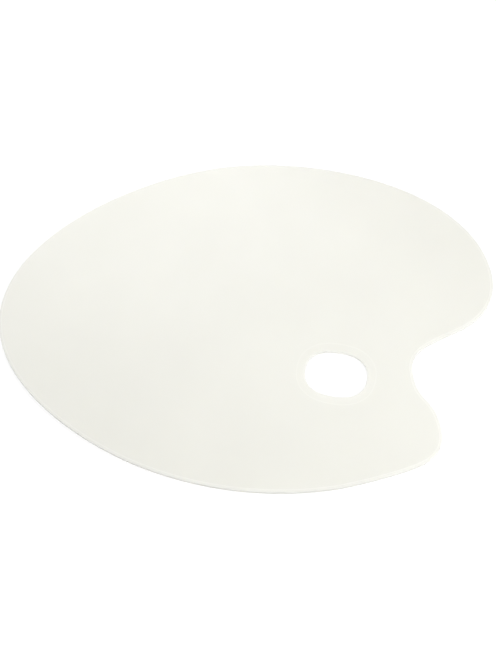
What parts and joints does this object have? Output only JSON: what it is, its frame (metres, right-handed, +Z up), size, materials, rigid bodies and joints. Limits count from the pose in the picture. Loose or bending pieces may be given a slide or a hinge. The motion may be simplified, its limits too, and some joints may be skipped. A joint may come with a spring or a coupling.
{
  "type": "mixing palette",
  "caption": "Flat oval artist's palette with a faintly bevelled rim, a dished thumb hole and a finger bay, held on one hand or laid flat for mixing paint.",
  "frame": {"origin": "under the middle of the board's box, on the surface that the board rests on", "axes": "+X along the board from its narrow end to its broad end, +Y away from the thumb hole's side towards the long back edge, +Z up out of the mixing face"},
  "size_m": [0.35, 0.26, 0.0032],
  "materials": {
    "board_plastic": "satin warm white, slightly translucent, fine moulded texture"
  },
  "bodies": {
    "root": {"palette_board": "board_plastic"}
  },
  "joints": []
}
